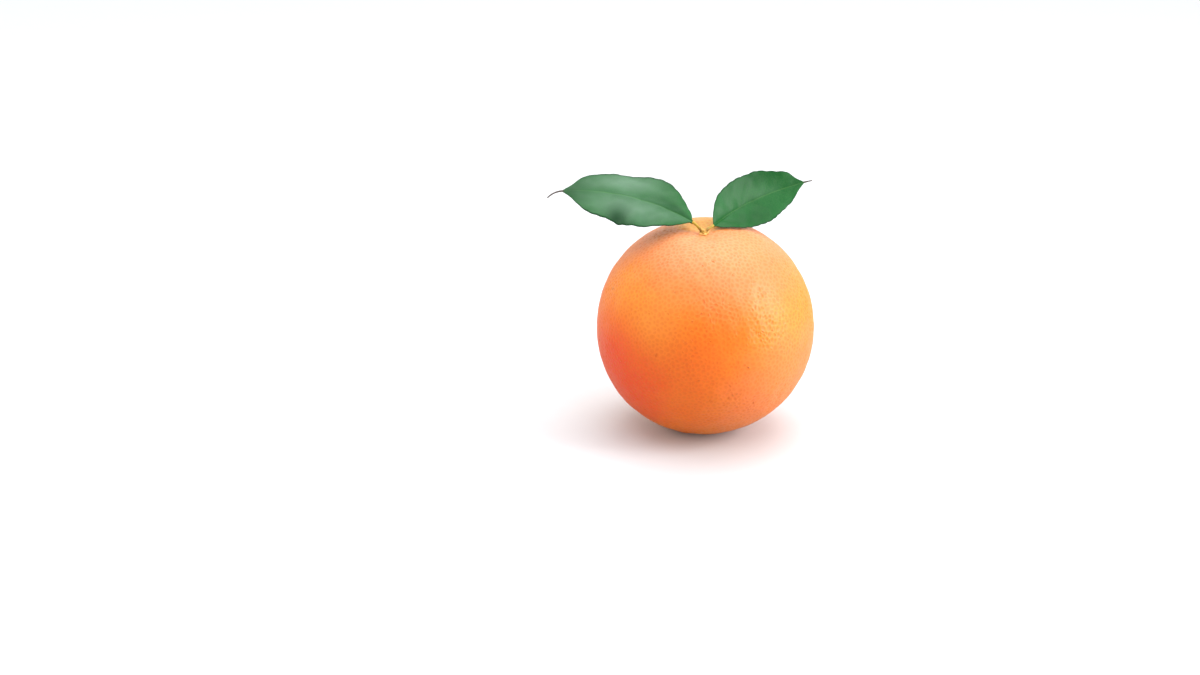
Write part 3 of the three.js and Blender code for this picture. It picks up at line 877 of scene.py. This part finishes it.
twigFoot = calyx["clearance"] + calyx["thickness"] + stalk["clearance"]


# A closed tube of rings round a path, with a radius for each ring and both ends capped
def tubeSurface(path, radii, sides, sideways, wobble=None):
    along = unit(np.gradient(path, axis=0))
    first = unit(np.cross(along, sideways))
    second = np.cross(along, first)
    turn = np.arange(sides) * 2 * math.pi / sides
    circle = (first[:, None] * np.cos(turn)[:, None] + second[:, None] * np.sin(turn)[:, None])
    reach = radii[:, None] * (1 if wobble is None else wobble(turn)[None])
    points = path[:, None] + circle * reach[..., None]
    index = np.arange(len(path) * sides).reshape(len(path), sides)
    after = np.roll(index, -1, axis=1)
    faces = np.stack([index[:-1], after[:-1], after[1:], index[1:]], axis=-1).reshape(-1, 4).tolist()
    faces += [index[0, ::-1].tolist(), index[-1].tolist()]
    return points.reshape(-1, 3), faces


def twigSurface():
    length = stalk["length"]
    height = np.append(-stalk["intoCalyx"], np.linspace(0, length, 11))
    flare = stalk["footRadius"] - stalk["radius"]
    radii = stalk["radius"] + flare * (1 - smoothstep(height, 0, stalk["footHeight"]))
    radii -= stalk["bevel"] * smoothstep(height, length - stalk["bevel"], length)
    path = np.array(stemAxis) * (height + twigFoot)[:, None]

    def ribbed(turn):
        return 1 + stalk["ribHeight"] * np.cos(stalk["ribs"] * turn + np.sin(turn))

    return tubeSurface(path, radii, stalk["sides"], np.array([0.0, 1.0, 0.2]), ribbed)


def petiolePath(leaf):
    heading = alongMidrib(leaf, np.zeros(1))[0]
    end = np.array(leaf["base"]) - stemEnd
    start = np.array(stemAxis) * (twigFoot + stalk["petioleFromFoot"])
    start[0] += leaf["side"] * stalk["petioleFromAxis"]
    arch = stalk["petioleArch"] * np.linalg.norm(end - start)
    bend = (start + end) / 2 + np.array(stemAxis) * arch
    t = np.linspace(0, 1, stalk["petioleSteps"])[:, None]
    curve = start * (1 - t) ** 2 + 2 * bend * t * (1 - t) + end * t ** 2
    return curve - heading * stalk["gapToBlade"] * t


def petioleSurface(leaf):
    path = petiolePath(leaf)
    fromEnd = np.linalg.norm(path - path[-1], axis=1)
    t = np.linspace(0, 1, len(path))
    radii = stalk["petioleRadius"] * (1 - (1 - stalk["petioleWaist"]) * np.sin(math.pi * t))
    joint = bell(fromEnd, stalk["jointFromEnd"], stalk["jointLength"] / 2)
    radii += (stalk["jointRadius"] - stalk["petioleRadius"]) * stalk["jointFullness"] * joint
    radii += stalk["petioleSwelling"] * bell(t, 0, stalk["swellingReach"])
    radii[-1] *= stalk["endNarrowing"]
    return tubeSurface(path, radii, stalk["petioleSides"], np.array([0.0, 0.3, 1.0]))


# Fuses closed surfaces into one skin with soft creases where they meet
def fuse(name, surfaces):
    points, faces = [], []
    for surface, quads in surfaces:
        faces += [[i + len(points) for i in face] for face in quads]
        points += surface.tolist()
    mesh = bpy.data.meshes.new(name)
    mesh.from_pydata(points, [], faces)
    rough = bpy.data.objects.new(name, mesh)
    bpy.context.scene.collection.objects.link(rough)
    remesh = rough.modifiers.new("fuse", "REMESH")
    remesh.mode = "VOXEL"
    remesh.voxel_size = stalk["voxel"]
    soften = rough.modifiers.new("soften", "SMOOTH")
    soften.factor, soften.iterations = 0.5, 4
    evaluated = rough.evaluated_get(bpy.context.evaluated_depsgraph_get())
    fused = evaluated.to_mesh()
    points = np.array([v.co for v in fused.vertices])
    faces = [list(face.vertices) for face in fused.polygons]
    evaluated.to_mesh_clear()
    bpy.data.objects.remove(rough)
    return points, faces


def makeStalk():
    surfaces = [twigSurface()] + [petioleSurface(leaf) for leaf in leaves.values()]
    points, faces = fuse("stalkRough", surfaces)
    axis = np.array(stemAxis)
    height = points @ axis - twigFoot
    fromAxis = np.linalg.norm(points - np.outer(points @ axis, axis), axis=1)
    cut = smoothstep(height, stalk["length"] - 0.2, stalk["length"] - 0.05)
    cut *= 1 - smoothstep(fromAxis, stalk["radius"] - stalk["cutRim"], stalk["radius"] + 0.1)
    roots = np.array([petiolePath(leaf)[stalk["rootStep"]] - axis * stalk["rootBelow"]
                      for leaf in leaves.values()])
    toRoot = np.linalg.norm(points[:, None] - roots, axis=2).min(1)
    attributes = {"cutFace": cut, "root": bell(toRoot, 0, stalk["rootSpread"]), "fromAxis": fromAxis}
    return meshPiece("twigAndPetioles", points + stemEnd, faces, attributes)


stalkColours = {
    "skin": "#b8962c", "streak": "#94822a", "twig": "#cf9f42", "root": "#4a2a04",
    "pith": "#d3a34c", "wood": "#c08c38",
}


def makeStalkMaterial():
    material, nodes, shader = newMaterial("stalkSkin")
    place = nodes.place()
    mottle = useGroup(nodes, mottleGroup, Place=place, Patches=500.0, Flecks=2400.0)
    fromAxis = nodes.attribute("fromAxis")
    colour = nodes.mix(nodes.rescale(fromAxis, 1.7, 2.6), linear(stalkColours["twig"]),
                       linear(stalkColours["skin"]))
    colour = nodes.tint(mottle["Patch"], 0.5, colour, stalkColours["streak"])
    colour = nodes.tint(nodes.attribute("root"), 0.95, colour, stalkColours["root"])
    rings = nodes.rescale(fromAxis, 0.35, 0.8)
    endGrain = nodes.mix(rings, linear(stalkColours["pith"]), linear(stalkColours["wood"]))
    colour = nodes.mix(nodes.attribute("cutFace"), colour, endGrain)
    grain = useGroup(nodes, grainGroup, Place=place, Scale=3000.0, Strength=0.5, Depth=0.2 * mm)
    nodes.fill(shader, {
        "Base Color": colour,
        "Roughness": nodes.rescale(mottle["Fleck"], 0, 1, 0.5, 0.7),
        "Normal": grain["Normal"],
    })
    return material


stub = makeStalk()
dress(stub, makeStalkMaterial(), "stalk")
print("stalk made:", len(stub.data.polygons), "faces")


# The camera, the floor and the light

view = {
    "frameWidth": 1200,
    "frameHeight": 675,
    "lens": 45,
    "sensor": 36,
    "elevation": 20,
    "fruitPlace": (704, 323.2),     # where the middle of the fruit shows, in pixels
    "fruitRadius": 108.5,           # in pixels
}


def makeCamera():
    focal = view["lens"] / view["sensor"] * view["frameWidth"]
    distance = fruit["width"] / 2 * math.sqrt(1 + (focal / view["fruitRadius"]) ** 2) * mm
    tilt = math.radians(view["elevation"])
    back = Vector((0, -math.cos(tilt), math.sin(tilt)))
    rise = Vector((0, math.sin(tilt), math.cos(tilt)))
    centre = Vector(fruitCentre) * mm
    perPixel = distance / focal
    aside = (view["fruitPlace"][0] - view["frameWidth"] / 2) * perPixel
    below = (view["fruitPlace"][1] - view["frameHeight"] / 2) * perPixel
    aim = centre - Vector((1, 0, 0)) * aside + rise * below
    data = bpy.data.cameras.new("camera")
    data.lens, data.sensor_width = view["lens"], view["sensor"]
    camera = bpy.data.objects.new("camera", data)
    camera.location = centre + back * distance
    camera.rotation_mode = "QUATERNION"
    camera.rotation_quaternion = (aim - camera.location).to_track_quat("-Z", "Y")
    bpy.context.scene.collection.objects.link(camera)
    bpy.context.scene.camera = camera


floorPaper = {
    "reach": 6000,
    "shown": ((0.68, 0.695, 0.72, 1), (0.7, 0.715, 0.74, 1)),     # two tones of the paper
    "given": (0.5, 0.5, 0.5, 1),    # it gives back less light than it shows
    "roughness": 0.9,
    "specular": 0.1,
}


def makeFloor():
    reach = floorPaper["reach"]
    corners = [(-reach, -reach, 0), (reach, -reach, 0), (reach, reach, 0), (-reach, reach, 0)]
    floor = meshPiece("floor", corners, [[0, 1, 2, 3]])
    material, nodes, shader = newMaterial("paleFloor")
    paper = nodes.noise(nodes.place(), 60.0, detail=3)
    seen = nodes.add("ShaderNodeLightPath").outputs["Is Camera Ray"]
    nodes.fill(shader, {
        "Base Color": nodes.mix(seen, floorPaper["given"], nodes.mix(paper, *floorPaper["shown"])),
        "Roughness": floorPaper["roughness"],
        "Specular IOR Level": floorPaper["specular"],
    })
    floor.data.materials.append(material)


# Soft boxes: where each stands from the fruit's middle, its size in metres, power and tint
softBoxes = {
    "overhead": {"place": (0.1, 0.45, 1.05), "size": (0.9, 0.7), "power": 3.4, "tint": (1, 1, 1)},
    "right": {"place": (0.89, -0.24, 0.37), "size": (0.36, 0.76), "power": 10, "tint": (1, 1, 1)},
    "left": {"place": (-0.8, -0.7, 0.45), "size": (0.8, 0.7), "power": 3.8, "tint": (1, 0.86, 0.7)},
}


sun = {"energy": 1.5, "softness": 70, "fromFront": 4, "fromRight": 3}     # angles in degrees
sky = {"front": 0.46, "back": 1.3, "shown": 1}      # brightness behind the camera and ahead of it


def makeSoftBoxes():
    for name, box in softBoxes.items():
        data = bpy.data.lights.new(name, "AREA")
        data.shape = "RECTANGLE"
        data.size, data.size_y = box["size"]
        data.energy = box["power"]
        data.color = box["tint"]
        light = bpy.data.objects.new(name, data)
        light.location = Vector(fruitCentre) * mm + Vector(box["place"])
        light.rotation_mode = "QUATERNION"
        light.rotation_quaternion = (-Vector(box["place"])).to_track_quat("-Z", "Y")
        bpy.context.scene.collection.objects.link(light)


def makeSun():
    data = bpy.data.lights.new("softSun", "SUN")
    data.energy = sun["energy"]
    data.angle = math.radians(sun["softness"])
    light = bpy.data.objects.new("softSun", data)
    light.rotation_euler = (math.radians(sun["fromFront"]), math.radians(sun["fromRight"]), 0)
    bpy.context.scene.collection.objects.link(light)


def makeSky():
    world = bpy.data.worlds.new("studio")
    world.use_nodes = True
    nodes = Nodes(world.node_tree)
    direction = nodes.add("ShaderNodeTexCoord").outputs["Generated"]
    backwards = nodes.add("ShaderNodeSeparateXYZ", {0: direction}).outputs["Y"]
    light = nodes.rescale(backwards, -1, 1, sky["front"], sky["back"])
    seen = nodes.add("ShaderNodeLightPath").outputs["Is Camera Ray"]
    nodes.fill(world.node_tree.nodes["Background"], {
        "Color": (1, 1, 1, 1),
        "Strength": nodes.rescale(seen, 0, 1, light, sky["shown"]),
    })
    bpy.context.scene.world = world
    bpy.context.scene.view_settings.view_transform = "Standard"


makeCamera()
makeFloor()
makeSoftBoxes()
makeSun()
makeSky()
print("camera, floor and lights placed")
